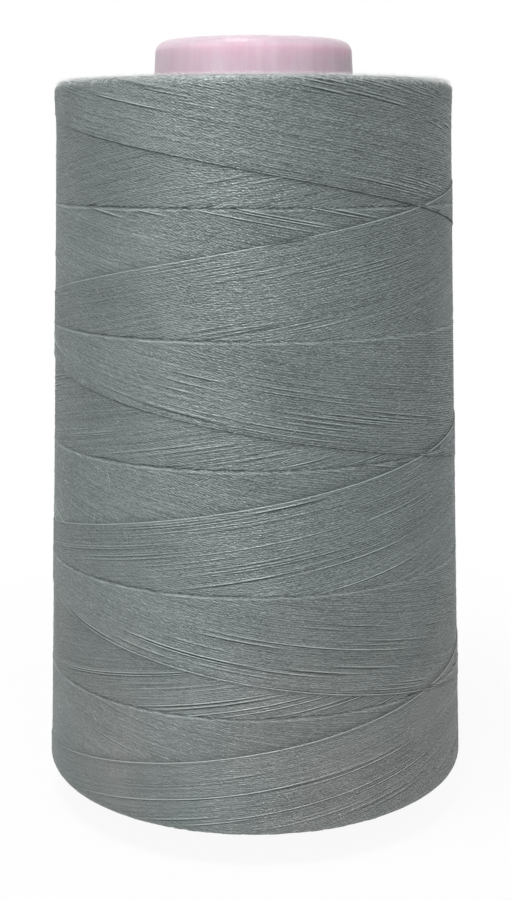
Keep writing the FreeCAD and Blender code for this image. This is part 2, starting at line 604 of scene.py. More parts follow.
class Board:
    """Places shader nodes in one node tree and joins them."""

    def __init__(self, tree: NodeTree) -> None:
        """Keeps the tree."""
        self.tree = tree

    def node(self, kind: str, inputs: dict | None = None, **settings: object) -> Node:
        """Adds a node.

        Args:
            kind: the node's type, without the words that all types begin with.
            inputs: values or sockets for its inputs, by name or number.
            settings: values of its other properties.

        Returns:
            The node.
        """
        made = self.tree.nodes.new("ShaderNode" + kind)
        for name, value in settings.items():
            setattr(made, name, value)
        return self.fill(made, inputs or {})

    def fill(self, node: Node, inputs: dict) -> Node:
        """Gives a node's inputs values, or joins them to outputs, by name or number."""
        for name, value in inputs.items():
            if isinstance(value, NodeSocket):
                self.tree.links.new(value, node.inputs[name])
            else:
                node.inputs[name].default_value = value
        return node

    def math(self, operation: str, *values: object, clamp: bool = False) -> NodeSocket:
        """The result of a Math node on up to three values."""
        return self.node("Math", dict(enumerate(values)), operation=operation, use_clamp=clamp).outputs[0]

    def ramp(self, value: object, low: float, high: float) -> NodeSocket:
        """A smooth step of a value from 0 at low to 1 at high."""
        inputs = {"Value": value, "From Min": low, "From Max": high}
        return self.node("MapRange", inputs, interpolation_type="SMOOTHSTEP").outputs["Result"]

    def mix(self, factor: object, a: object, b: object) -> NodeSocket:
        """A colour between a, where the factor is 0, and b, where it is 1."""
        return self.node("Mix", {0: factor, 6: a, 7: b}, data_type="RGBA").outputs[2]

    def noise(self, vector: object, scale: object, detail: float = 2.0) -> NodeSocket:
        """Values of a noise that has its features about 1/scale apart."""
        return self.node("TexNoise", {"Vector": vector, "Scale": scale, "Detail": detail}).outputs["Fac"]

    def bump(self, height: object, relief: float) -> NodeSocket:
        """The normals of a surface with bumps, which are as high as the relief where the height is 1."""
        return self.node("Bump", {"Height": height, "Distance": relief}).outputs["Normal"]

    def stretch(self, vector: object, scale: tuple[float, float, float]) -> NodeSocket:
        """A vector with each part multiplied."""
        return self.node("VectorMath", {0: vector, 1: scale}, operation="MULTIPLY").outputs[0]

    def place(self, group: NodeTree, inputs: dict) -> Node:
        """Adds a copy of a node group with its values."""
        made = self.tree.nodes.new("ShaderNodeGroup")
        made.node_tree = group
        return self.fill(made, inputs)

    def mottled(self, mottle: NodeTree, where: object, scale: float) -> NodeSocket:
        """The mask of a copy of the mottle group at some scale."""
        return self.place(mottle, {"Place": where, "Scale": scale}).outputs["Mask"]


def new_group(name: str, inputs: dict[str, tuple[str, object]],
              outputs: tuple[str, ...]) -> tuple[NodeTree, Board, dict, Node]:
    """Starts a shader node group.

    Args:
        name: the group's name.
        inputs: kind and first value of each input.
        outputs: names of the outputs, which are all plain values.

    Returns:
        The group, its board, its inputs as sockets by name, and its output node.
    """
    tree = bpy.data.node_groups.new(name, "ShaderNodeTree")
    for label, (kind, value) in inputs.items():
        socket = tree.interface.new_socket(label, in_out="INPUT", socket_type="NodeSocket" + kind)
        if value is not None:
            socket.default_value = value
    for label in outputs:
        tree.interface.new_socket(label, in_out="OUTPUT", socket_type="NodeSocketFloat")
    taken = tree.nodes.new("NodeGroupInput")
    given = tree.nodes.new("NodeGroupOutput")
    return tree, Board(tree), {label: taken.outputs[label] for label in inputs}, given


def new_finish(name: str) -> tuple[Material, Board, Node, NodeSocket]:
    """Starts a material.

    Args:
        name: the material's name.

    Returns:
        The material, its board, its shader, and its piece's own coordinates.
    """
    made = bpy.data.materials.new(name)
    made.use_nodes = True
    board = Board(made.node_tree)
    return made, board, made.node_tree.nodes["Principled BSDF"], board.node("TexCoord").outputs["Object"]


@dataclass(frozen=True)
class PliedTwist:
    """The plies of a thread: ridges that wind round it."""

    plies: int = 2
    lay: float = 1.15 * MM
    slack_reach: float = 0.9 * MM
    slack: float = 1.2 * MM
    groove_sharpness: float = 2.0
    fibres_along: float = 420.0
    fibres_around: float = 3.0

    def group(self) -> NodeTree:
        """Builds the node group.

        The height is the cosine's size of half the plies' turn, which is round on top and sharp in
        the grooves. The turn is that of the face round the thread, less one for each lay along it.
        A noise along the thread shifts the plies, so that no two stretches look alike.

        Returns:
            A group that turns the twist map into a groove mask and a fibre mask.
        """
        inputs = {"Map": ("Vector", None), "Lay": ("Float", self.lay), "Plies": ("Float", float(self.plies))}
        tree, board, taken, given = new_group("plied_twist", inputs, ("Groove", "Fibre"))
        parts = board.node("SeparateXYZ", {0: taken["Map"]}).outputs
        run = board.node("CombineXYZ", {0: parts["X"]}).outputs[0]
        loose = board.math("SUBTRACT", board.noise(run, 1 / self.slack_reach, 1.0), 0.5)
        shifted = board.math("MULTIPLY_ADD", loose, self.slack, parts["X"])
        turned = board.math("SUBTRACT", parts["Y"], board.math("DIVIDE", shifted, taken["Lay"]))
        plied = board.math("MULTIPLY", turned, taken["Plies"])
        height = board.math("ABSOLUTE", board.math("COSINE", board.math("MULTIPLY", plied, math.pi)))
        groove = board.math("POWER", board.math("SUBTRACT", 1.0, height), self.groove_sharpness)
        fibres = board.node("CombineXYZ", {0: board.math("MULTIPLY", parts["X"], self.fibres_along),
                                           1: board.math("MULTIPLY", turned, self.fibres_around)})
        board.fill(given, {"Groove": groove, "Fibre": board.noise(fibres.outputs[0], 1.0)})
        return tree


@dataclass(frozen=True)
class PlyGrain:
    """The crests of the plies, which run on from thread to thread as short slanting dashes.

    Neighbouring threads settle into each other's grooves, so the dashes are longer than one
    thread is wide. The light comes from the left. There it picks out the plies, and round to the
    right more and more the run of the threads, so that the dashes slant less to them.
    """

    spacing: float = 0.48 * MM
    across: float = 0.5 * MM
    length: float = 0.5 * MM
    slack: float = 1.3
    crest: Span = (-0.35, 0.85)
    change_angle: float = math.radians(-10)
    change_width: float = math.radians(9)

    def run(self, radius: float, climb: float, lit_slant: float, far_slant: float) -> dict[str, float]:
        """What the group needs to know of the dashes on threads that climb at some angle.

        Args:
            radius: the winding's radius.
            climb: the threads' angle to the level.
            lit_slant: the dashes' angle to the threads on the lit side.
            far_slant: the same on the other side.

        Returns:
            How far a dash climbs for each radian round the axis, on each side, and the height from
            dash to dash, which are the spacing apart, square to their run.
        """
        lit, far = (radius * math.tan(climb - slant) for slant in (lit_slant, far_slant))
        period = self.spacing / math.cos(climb - (lit_slant + far_slant) / 2)
        return {"Lit Slope": lit, "Far Slope": far, "Period": period}

    def group(self) -> NodeTree:
        """Builds the node group.

        It is a sine up the winding, one wave for each period. Height is counted from what a dash
        would have climbed, and less the distance from the axis, so that the waves run on over the
        end faces. The climb's slope goes from the lit side's to the far side's as a logistic curve
        of the angle, so the climb itself grows by the logarithm of one plus an exponential. A noise
        shifts the waves by up to the slack, which breaks them up.

        Returns:
            A group that turns a place and the dashes' slopes and period into a mask.
        """
        inputs = {"Place": ("Vector", None), "Lit Slope": ("Float", 0.0), "Far Slope": ("Float", 0.0),
                  "Period": ("Float", self.spacing)}
        tree, board, taken, given = new_group("ply_grain", inputs, ("Dash",))
        parts = board.node("SeparateXYZ", {0: taken["Place"]}).outputs
        angle = board.math("ARCTAN2", parts["X"], board.math("MULTIPLY", parts["Y"], -1.0))
        flat = board.stretch(taken["Place"], (1.0, 1.0, 0.0))
        away = board.node("VectorMath", {0: flat}, operation="LENGTH").outputs["Value"]
        past = board.math("DIVIDE", board.math("SUBTRACT", angle, self.change_angle), self.change_width)
        past = board.math("LOGARITHM", board.math("ADD", board.math("EXPONENT", past), 1.0), math.e)
        past = board.math("MULTIPLY", past, self.change_width)
        change = board.math("SUBTRACT", taken["Far Slope"], taken["Lit Slope"])
        climbed = board.math("MULTIPLY_ADD", past, change, board.math("MULTIPLY", angle, taken["Lit Slope"]))
        level = board.math("SUBTRACT", board.math("SUBTRACT", parts["Z"], climbed), away)
        spread = board.node("CombineXYZ", {0: board.math("DIVIDE", parts["X"], self.length),
                                           1: board.math("DIVIDE", parts["Y"], self.length),
                                           2: board.math("DIVIDE", level, self.across)})
        loose = board.math("MULTIPLY", board.noise(spread.outputs[0], 1.0, 0.0), self.slack)
        phase = board.math("ADD", board.math("DIVIDE", level, taken["Period"]), loose)
        wave = board.math("SINE", board.math("MULTIPLY", phase, TURN))
        board.fill(given, {"Dash": board.ramp(wave, *self.crest)})
        return tree


@dataclass(frozen=True)
class Mottle:
    """A slow, soft change over a surface."""

    low: float = 0.35
    high: float = 0.65
    detail: float = 3.0

    def group(self) -> NodeTree:
        """Builds the node group: a noise on the place, its values from low to high spread from 0 to 1."""
        inputs = {"Place": ("Vector", None), "Scale": ("Float", 60.0)}
        tree, board, taken, given = new_group("mottle", inputs, ("Mask",))
        noise = board.noise(taken["Place"], taken["Scale"], self.detail)
        spread = board.node("MapRange", {"Value": noise, "From Min": self.low, "From Max": self.high})
        board.fill(given, {"Mask": spread.outputs["Result"]})
        return tree


@dataclass(frozen=True)
class ThreadFinish:
    """Spun polyester sewing thread, dyed a greenish grey."""

    twist: NodeTree
    grain: NodeTree
    mottle: NodeTree
    name: str
    run: dict[str, float]
    # How far the dashes lighten and darken the colour: painted highlight and shade on the plies.
    dash_weight: float
    streak_weight: float
    light: Colour = (0.400, 0.455, 0.446, 1.0)
    dark: Colour = (0.050, 0.061, 0.059, 1.0)
    # A plainer, lighter grey that patches take towards the foot.
    aged: Colour = (0.455, 0.460, 0.455, 1.0)
    fleck: Colour = (0.46, 0.49, 0.48, 1.0)
    # Near black: the painted shade in crevices and under proud threads.
    deep: Colour = (0.03, 0.036, 0.035, 1.0)
    middle: float = 0.59
    tone_weight: float = 0.15
    mottle_weight: float = 0.06
    # Painted shade in the grooves between the plies.
    groove_shade_weight: float = -0.3
    painted_shade_weight: float = 0.8
    mottle_scale: float = 90.0
    patch_scale: float = 22.0
    nep_scale: float = 2600.0
    nep_level: Span = (0.84, 0.88)
    foot_span_z: Span = (75 * MM, 15 * MM)
    foot_dash_loss: float = -0.4
    least_lustre: float = 0.08
    lustre: float = 0.75
    roughness: float = 0.33
    ridge: float = 0.04 * MM
    fibre_relief: float = 0.15

    def material(self) -> Material:
        """Builds the finish.

        The colour runs from dark to light with each thread's tone, a slow mottle, the fibres and the
        dashes, less the grooves between the plies. The light and dark of the dashes and grooves in the
        colour are painted highlight and painted shade on the plies. Tones above 1 are painted highlight,
        and painted shade sinks the colour almost to black in the crevices between strokes and under
        proud threads. A few pale flecks are neps of raw fibre. Towards the foot the dashes are fainter
        and patches are a plainer grey. The smooth fibres throw light back in their own colour, as metal
        does, and most of all on the dashes.

        Returns:
            The material.
        """
        made, board, shader, where = new_finish(self.name)
        along = board.node("UVMap", uv_map=TWIST_MAP).outputs["UV"]
        # The tone, with painted highlight above 1, and the painted shade of each vertex.
        tone, painted_shade = (
            board.node("Attribute", attribute_name=name).outputs["Fac"] for name in (TONE_AND_HIGHLIGHT, PAINTED_SHADE))
        twist = board.place(self.twist, {"Map": along}).outputs
        dash = board.place(self.grain, {"Place": where} | self.run).outputs["Dash"]
        # Towards the foot the dashes fade and patches turn a plainer grey.
        low = board.ramp(board.node("SeparateXYZ", {0: where}).outputs["Z"], *self.foot_span_z)
        dash_kept = board.math("MULTIPLY_ADD", low, self.foot_dash_loss, 1.0)
        relief = board.math("MULTIPLY_ADD", board.math("SUBTRACT", dash, 0.5), dash_kept, 0.5)

        mottle = board.mottled(self.mottle, where, self.mottle_scale)
        # The dashes lighten the colour: painted highlight on the ply crests.
        shade = self.middle - (self.dash_weight + self.streak_weight) / 2
        for part, weight in ((tone, self.tone_weight), (mottle, self.mottle_weight),
                             (twist["Fibre"], self.streak_weight), (relief, self.dash_weight)):
            shade = board.math("MULTIPLY_ADD", part, weight, shade)
        # Painted shade in the grooves between the plies.
        shade = board.math("MULTIPLY_ADD", twist["Groove"], self.groove_shade_weight, shade, clamp=True)
        patch = board.mottled(self.mottle, where, self.patch_scale)
        light = board.mix(board.math("MULTIPLY", low, patch), self.light, self.aged)
        colour = board.mix(shade, self.dark, light)
        nep = board.ramp(board.noise(where, self.nep_scale, 0.0), *self.nep_level)
        colour = board.mix(nep, colour, self.fleck)
        # Painted shade: crevices and threads under proud ones sink toward near black.
        colour = board.mix(board.math("MULTIPLY", painted_shade, self.painted_shade_weight), colour, self.deep)

        crest = board.math("ADD", board.math("SUBTRACT", 1.0, twist["Groove"]), dash)
        height = board.math("MULTIPLY_ADD", twist["Fibre"], self.fibre_relief, crest)
        board.fill(shader, {
            "Base Color": colour,
            "Metallic": board.math("MULTIPLY_ADD", relief, self.lustre, self.least_lustre),
            "Roughness": self.roughness,
            "Specular IOR Level": 0.0,
            "Normal": board.bump(height, self.ridge)})
        return made


@dataclass(frozen=True)
class FuzzFinish:
    """Loose fibres, which light comes through."""

    mottle: NodeTree
    name: str = "loose_fibre"
    pale: Colour = (0.97, 0.975, 0.97, 1.0)
    grey: Colour = (0.86, 0.88, 0.875, 1.0)
    mottle_scale: float = 900.0
    roughness: float = 0.6

    def material(self) -> Material:
        """Builds the finish: pale grey, a little uneven."""
        made, board, shader, where = new_finish(self.name)
        colour = board.mix(board.mottled(self.mottle, where, self.mottle_scale), self.grey, self.pale)
        board.fill(shader, {"Base Color": colour, "Roughness": self.roughness})
        return made


@dataclass(frozen=True)
class ShadedUnderlayFinish:
    """The thread below the outer strokes, which shows only in gaps, coloured near black as painted shade."""

    mottle: NodeTree
    name: str = "shaded_thread_underlay"
    # Both colours are near black: painted shade of the deep gaps.
    light: Colour = (0.10, 0.115, 0.112, 1.0)
    dark: Colour = (0.04, 0.047, 0.046, 1.0)
    line_scale: tuple[float, float, float] = (60.0, 60.0, 4000.0)
    line_level: Span = (0.35, 0.65)
    mottle_scale: float = 120.0
    mottle_weight: float = 0.4
    roughness: float = 0.8
    ridge: float = 0.1 * MM

    def material(self) -> Material:
        """Builds the finish: level lines of thread, lighter and darker, all near black as painted shade."""
        made, board, shader, where = new_finish(self.name)
        lines = board.noise(board.stretch(where, self.line_scale), 1.0)
        mottle = board.mottled(self.mottle, where, self.mottle_scale)
        drawn = board.ramp(lines, *self.line_level)
        shade = board.math("MULTIPLY_ADD", mottle, self.mottle_weight, drawn, clamp=True)
        board.fill(shader, {
            "Base Color": board.mix(shade, self.dark, self.light),
            "Roughness": self.roughness,
            "Normal": board.bump(lines, self.ridge)})
        return made


@dataclass(frozen=True)
class CoreFinish:
    """Moulded pink plastic, a little see-through at its edges, with painted shade at its rim and left side.
    """

    mottle: NodeTree
    name: str = "pink_plastic"
    pink: Colour = (0.74, 0.53, 0.63, 1.0)
    pale: Colour = (0.86, 0.72, 0.79, 1.0)
    # A darker, greyer pink: painted shade at the rim and on the left.
    shade_pink: Colour = (0.50, 0.42, 0.465, 1.0)
    streak_scale: tuple[float, float, float] = (560.0, 560.0, 25.0)
    streak_level: Span = (0.3, 0.7)
    cloud_scale: float = 150.0
    pale_weight: float = 0.35
    rim_depth: Span = (2.6 * MM, 0.6 * MM)
    shade_left_x: Span = (-5 * MM, -20 * MM)
    left_shade_weight: float = 0.5
    roughness: float = 0.32
    uneven_gloss: float = 0.10
    ridge: float = 0.08 * MM
    specular: float = 0.18
    glow: float = 1.0
    glow_reach: float = 5 * MM
    glow_colour: tuple[float, float, float] = (1.0, 0.7, 0.8)

    def material(self, rim_z: float) -> Material:
        """Builds the finish.

        The plastic is pink, with faint upright streaks from the mould and pale clouds. At the rim and
        to the left it turns a darker, greyer pink, painted shade for how the light falls there.

        Args:
            rim_z: the height of the nose's rim.

        Returns:
            The material.
        """
        made, board, shader, where = new_finish(self.name)
        parts = board.node("SeparateXYZ", {0: where}).outputs
        streaks = board.noise(board.stretch(where, self.streak_scale), 1.0, 3.0)
        streaks = board.ramp(streaks, *self.streak_level)
        cloud = board.mottled(self.mottle, where, self.cloud_scale)
        clouds = board.math("MULTIPLY", cloud, self.pale_weight)
        shade = board.math("MULTIPLY_ADD", streaks, self.pale_weight, clouds, clamp=True)
        colour = board.mix(shade, self.pink, self.pale)
        # Painted shade to the left and at the rim.
        left = board.math("MULTIPLY", board.ramp(parts["X"], *self.shade_left_x), self.left_shade_weight)
        rim_shade = board.ramp(parts["Z"], *(rim_z - depth for depth in self.rim_depth))
        for shade_share in (left, rim_shade):
            colour = board.mix(shade_share, colour, self.shade_pink)
        board.fill(shader, {
            "Base Color": colour,
            "Roughness": board.math("MULTIPLY_ADD", cloud, self.uneven_gloss, self.roughness),
            "Normal": board.bump(streaks, self.ridge),
            "Specular IOR Level": self.specular,
            "Subsurface Weight": self.glow,
            "Subsurface Radius": self.glow_colour,
            "Subsurface Scale": self.glow_reach})
        return made


def dress(piece: Object, finish: Material, slot: Slot, *nodes: str) -> None:
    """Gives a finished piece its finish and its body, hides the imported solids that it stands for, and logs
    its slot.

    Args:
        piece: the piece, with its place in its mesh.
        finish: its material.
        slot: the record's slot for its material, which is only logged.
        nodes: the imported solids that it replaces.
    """
    piece.data.materials.clear()
    piece.data.materials.append(finish)
    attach(piece, BODY)
    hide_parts(*nodes)
    triangles = sum(len(face.vertices) - 2 for face in piece.data.polygons)
    log.info("%s: %d triangles, %s", piece.name, triangles, slot.value)


@dataclass
class Core:
    """The moulded core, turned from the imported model's own outline."""

    shape: ConeShape
    around: int = 240
    arc_steps: int = 10

    def build(self) -> Object:
        """Turns the core: the plain foot rim, the tapered wall and the nose with its lip."""
        shape = self.shape
        lip_foot = shape.length - shape.lip_depth
        outline = rounded([
            (shape.bore_radius(0), 0, shape.foot_rim_round),
            (shape.core_radius(0), 0, shape.foot_rim_round),
            (shape.core_radius(shape.length), shape.length, shape.nose_round),
            (shape.opening_radius, shape.length, shape.lip_edge_round),
            (shape.opening_radius, lip_foot, shape.lip_edge_round),
            (shape.bore_radius(lip_foot), lip_foot, shape.lip_root_round),
        ], self.arc_steps)
        return lathe("moulded_core", outline, self.around)


@dataclass
class Winding:
    """The thread on the core: its outer strokes, the turns on its end faces and the body under them.

    Places and reaches along a stroke are travel along the axis, counted from the circle where the
    stroke comes up, or back from the one where it goes under. Pairs are a range, or a place and
    its reach.
    """

    shape: ConeShape
    law: StrokeLaw
    seed: int = 7

    # How the strokes are spaced, as shares of an even gap.
    uneven_gap: float = 0.025
    gap_range: Span = (0.9, 1.1)
    newest_gap: float = 1.5

    # Where a thread gets its rings. Those of heads and tails are in millimetres.
    step: float = 3 * MM
    edge_head: tuple[float, ...] = (-0.45, -0.22, 0, 0.22, 0.5, 0.9)
    circle_head: tuple[float, ...] = (-0.3, -0.1, 0.05, 0.2, 0.35, 0.55)
    tail: tuple[float, ...] = (-0.35, -0.2, -0.08, 0.04, 0.3)
    whole_show: float = 1.5 * MM
    least_show: float = 0.5 * MM

    # How a thread strays to the side: the length and size of each wave.
    waves: tuple[Span, ...] = ((53 * MM, 0.012 * MM), (23 * MM, 0.009 * MM), (9 * MM, 0.006 * MM))
    wave_stretch: Span = (0.8, 1.25)
    drift_start: float = 0.8 * MM

    # Threads that stand proud, and the ranges of chance clusters' sizes, in the order of their fields.
    back_clusters: int = 9
    back_ranges: tuple[Span, ...] = ((75, 285), (0.5, 20), (0.4, 3), (1, 5), (4, 16), (0.3, 0.9))
    rider_stagger: float = 0.4
    rider_reach: Span = (0.7, 1.1)
    rider_strength: Span = (0.9, 1.3)
    rider_shift: float = 0.06 * MM
    rider_rise: float = 0.09 * MM

    # How threads dip and rise where they cross.
    edge_crossing: Span = (-0.45 * MM, 0.75 * MM)
    rising_crossing: Span = (0.18 * MM, 0.34 * MM)
    falling_crossing: Span = (-0.12 * MM, 0.34 * MM)
    uneven_crossing: float = 0.11 * MM
    crossing_dip: float = 0.3 * MM
    falling_dip: float = 0.15 * MM
    head: Span = (0.28 * MM, 0.2 * MM)
    head_rise: float = 0.08 * MM
    ending: Span = (0.13 * MM, 0.2 * MM)
    crevice_dip: float = 0.07 * MM
    tuck_dip: float = 0.01 * MM
    newest_rise: float = 0.05 * MM
    uneven_depth: float = 0.011 * MM
    depth_waves: float = 1.5

    # Where crossings are plainer: by the angle round the axis, and by the stroke's age.
    plain_side: Span = (math.radians(-80), math.radians(25))
    plain_loss: float = 0.8
    plain_age: Span = (0.53, 0.13)
    age_loss: float = 0.7

    # How dark the painted shade is in crevices and under proud threads, and how light threads are.
    crossing_shade: Span = (0.3, 1)
    rider_shade: float = 0.95
    tuck_shade: float = 0.3
    tuck_reach: float = 0.8 * MM
    uneven_tone: float = 0.25
    # Painted highlight on the newest rising stroke, on proud threads and on falling heads.
    newest_highlight: float = 3.0
    rider_highlight: float = 3.0
    head_highlight: float = 2.4
    head_highlight_range: Span = (0.2, 1)

    # The turns on the end faces. Their uneven depth is in millimetres.
    ring_gap: float = 0.27 * MM
    turn_gap: float = 3.4 * MM
    turn_reach: float = 2.4 * MM
    turn_places: tuple[float, ...] = (-1.0, -0.38, 0.38, 1.0)
    turn_lengths: Span = (0.75, 1.2)
    turn_stagger: float = 0.35
    turn_slant: float = 0.10
    uneven_ring: float = 0.07 * MM
    face_margin: float = 0.3 * MM
    level_margins: Span = (0.02 * MM, 0.15 * MM)
    uneven_turn_depth: float = 0.16
    turn_bow: float = 0.26 * MM
    turn_tone: float = 0.4

    # The body of older thread.
    cover: float = 0.8 * MM
    edge_steps: int = 40
    side_steps: int = 32
    around: int = 200

    slips: dict[Family, Array] = field(default_factory=dict)

    def __post_init__(self) -> None:
        """Draws the uneven spacing of the strokes, which each family keeps all the way along."""
        self.dice = np.random.default_rng(self.seed)
        for family in Family:
            gap = 1 + self.uneven_gap * self.dice.standard_normal(self.law.cycle)
            gap = np.clip(gap, *self.gap_range)
            gap[0] = self.newest_gap
            self.slips[family] = (np.cumsum(gap) - gap / 2) / gap.sum()

    def places(self, shows: Array, number: int) -> tuple[Array, Array, Array]:
        """Where the threads of a band get their rings.

        The rings are close together at the head and at the tail, where a thread bends, and evenly
        spread between. On a thread that shows only a little, head and tail shrink.

        Args:
            shows: how far each thread shows, as travel along the axis.
            number: which band it is, counted from where the strokes began.

        Returns:
            How many rings each thread has, the thread that each ring is on, and its travel from
            the band's first circle.
        """
        head = np.array(self.edge_head if number == 0 else self.circle_head) * MM
        tail = np.array(self.tail) * MM
        shrunk = np.minimum(shows / self.whole_show, 1)
        first, last = head[-1] * shrunk, shows + tail[0] * shrunk
        inner = np.ceil((last - first) / (self.step * self.law.climb)).clip(1).astype(int)
        count = inner + len(head) + len(tail)
        row, ring = ragged(count)
        between = ring - len(head) + 1
        in_head, in_tail = ring < len(head), between > inner[row]
        travel = first[row] + (last - first)[row] * between / (inner[row] + 1)
        start = head[np.where(in_head, ring, 0)] * shrunk[row]
        end = shows[row] + tail[np.where(in_tail, between - inner[row] - 1, 0)] * shrunk[row]
        return count, row, np.where(in_tail, end, np.where(in_head, start, travel))

    def wander(self, along: Array, row: Array, count: int) -> Array:
        """A slow sideways drift of each thread: a sum of sines of different lengths, with chance phases.

        Args:
            along: the way along each thread.
            row: the thread that each place is on.
            count: how many threads there are.

        Returns:
            Sideways shifts.
        """
        shift = np.zeros(len(along))
        for length, size in self.waves:
            phase = self.dice.uniform(0, TURN, count)
            stretch = self.dice.uniform(*self.wave_stretch, count)
            shift += size * np.sin(TURN * along / length * stretch[row] + phase[row])
        return shift

    def clusters(self, family: Family, number: int) -> list[Cluster]:
        """The clusters of a band: those that the front shows, and chance ones at the back and sides."""
        dice = self.dice
        angle, travel, spread, lines, reach, strength = self.back_ranges
        chance = [
            Cluster(dice.uniform(*angle), dice.uniform(*travel), dice.uniform(*spread),
                    int(dice.integers(*lines)), dice.uniform(*reach), dice.uniform(*strength))
            for _ in range(self.back_clusters)]
        return [Cluster(*row) for row in CLUSTERS.get((family, number), ())] + chance

    def riders(self, family: Family, number: int, along: Array, row: Array,
               above: int) -> tuple[Array, Array]:
        """Threads that stand proud of their neighbours for a while: a flat-topped bell curve along each.

        A cluster's threads are those whose stroke has the age that the law gives at its place.

        Args:
            family: rising or falling.
            number: which band it is, counted from where the strokes began.
            along: the way along each thread from where it comes up.
            row: the thread that each place is on.
            above: how many threads on the one that lies above each thread is numbered.

        Returns:
            How much of a rider each place is, from 0 to 1, and how much of a rider lies above it.
        """
        law, dice = self.law, self.dice
        age = self.slips[family]
        strength, middle, reach = np.zeros(len(age)), np.zeros(len(age)), np.full(len(age), MM)
        for cluster in self.clusters(family, number):
            lines = cluster.lines
            gone = number * law.band + cluster.travel * MM
            aged = (cluster.angle / 360 + law.front_age - 0.5 - gone / law.lead) % 1
            spread = np.linspace(-0.5, 0.5, lines) if lines > 1 else np.zeros(1)
            spread = spread + dice.uniform(-0.5, 0.5, lines) / lines
            aged = aged + spread * cluster.spread * MM / law.lead
            chosen = np.abs(age[None, :] - aged[:, None]).argmin(axis=1)
            shift = dice.uniform(-self.rider_stagger, self.rider_stagger, lines) * (lines > 1)
            middle[chosen] = (cluster.travel / law.climb + shift * cluster.reach) * MM
            reach[chosen] = cluster.reach * dice.uniform(*self.rider_reach, lines) * MM
            strength[chosen] = cluster.strength * dice.uniform(*self.rider_strength, lines)
        own, shading = (strength[of] * bell(along, middle[of], reach[of], 4)
                        for of in (row, (row + above) % len(age)))
        return own, shading

    def band(self, family: Family, number: int) -> Object:
        """Builds the threads of one family that show in one band between two circles.

        A thread comes up at the band's first circle, from under the other family, and shows until
        the newest stroke of the other family covers it. It dips where it comes up and where it
        goes under, and the crevices there get painted shade. Crossings are plainer toward the left
        side and on strokes of middle age. Rising threads come up from a crevice, and falling ones lie
        over them with their heads raised a little and given a painted highlight. Threads that stand
        proud get a painted highlight and the threads below them painted shade. The newest stroke
        stands a little proud, the newest rising one with a painted highlight, and the others lie
        unevenly deep.

        Args:
            family: rising or falling.
            number: which band it is, counted from where the strokes began.

        Returns:
            The piece.
        """
        law, dice = self.law, self.dice
        rises, inside = family is Family.RISING, number > 0
        over = inside and not rises
        age = self.slips[family]
        total = len(age)
        newest = np.arange(total) == 0
        first = number * law.band
        shows = np.maximum((1 - age) * law.band, self.least_show)
        count, row, travel = self.places(shows, number)
        left = shows[row] - travel
        along = travel / law.climb
        angle = law.angle(first + travel, age[row])
        front = (angle + math.pi) % TURN - math.pi

        rider, shading = self.riders(family, number, along, row, -1 if rises else 1)
        side = np.where(dice.random(total) < 0.5, -1.0, 1.0)[row]
        drift = self.wander(along, row, total) * ease(travel / self.drift_start)
        drift = drift + rider * side * self.rider_shift
        chance = dice.normal(0, self.uneven_depth, total)[row]
        chance = chance + self.depth_waves * self.wander(along, row, total)

        inner = self.rising_crossing if rises else self.falling_crossing
        start, reach = inner if inside else self.edge_crossing
        start = start + dice.normal(0, self.uneven_crossing, total)[row]
        crossing = 1 - ease((travel - start) / reach)
        head = over * bell(travel, *self.head)
        ending = ease((self.ending[0] - left) / self.ending[1])
        plain = 1 - self.plain_loss * bell(front, *self.plain_side)
        seen = plain * (1 - self.age_loss * bell(age[row], *self.plain_age))

        depth = law.sink(first + travel, age[row], number) + THREAD_HALF_HEIGHT
        depth = depth - rider * self.rider_rise + np.where(newest[row], -self.newest_rise, chance)
        depth = depth + (self.falling_dip if over else self.crossing_dip) * crossing * seen
        depth = depth - self.head_rise * head + (self.crevice_dip if rises else self.tuck_dip) * ending

        # Painted shade under proud threads, in the crossings and where threads go under.
        painted_shade = np.minimum(self.rider_shade * shading, 1)
        if inside:
            shade = dice.uniform(*self.crossing_shade, total)[row]
            painted_shade = np.maximum(painted_shade, crossing * seen * shade * rises)
        tucked_shade = self.tuck_shade * ease((self.tuck_reach - left) / self.tuck_reach)
        painted_shade = np.maximum(painted_shade, plain * (ending if rises else tucked_shade))

        level = law.level(family, first + travel + drift)
        centre, outward = self.shape.on_skin(level, angle, depth)
        tone = np.clip(dice.normal(0, self.uneven_tone, total), -1, 1)
        # Painted highlight on the newest rising stroke, on proud threads and on falling heads.
        tone = np.where(newest & rises, self.newest_highlight, tone)[row] * plain + self.rider_highlight * rider
        tone = tone + self.head_highlight * head * dice.uniform(*self.head_highlight_range, total)[row]
        strands = Strands(centre, outward, count, tone, dice.uniform(0, 1, total), painted_shade)
        return strands.build(f"{family.value}_threads_{number + 1}")

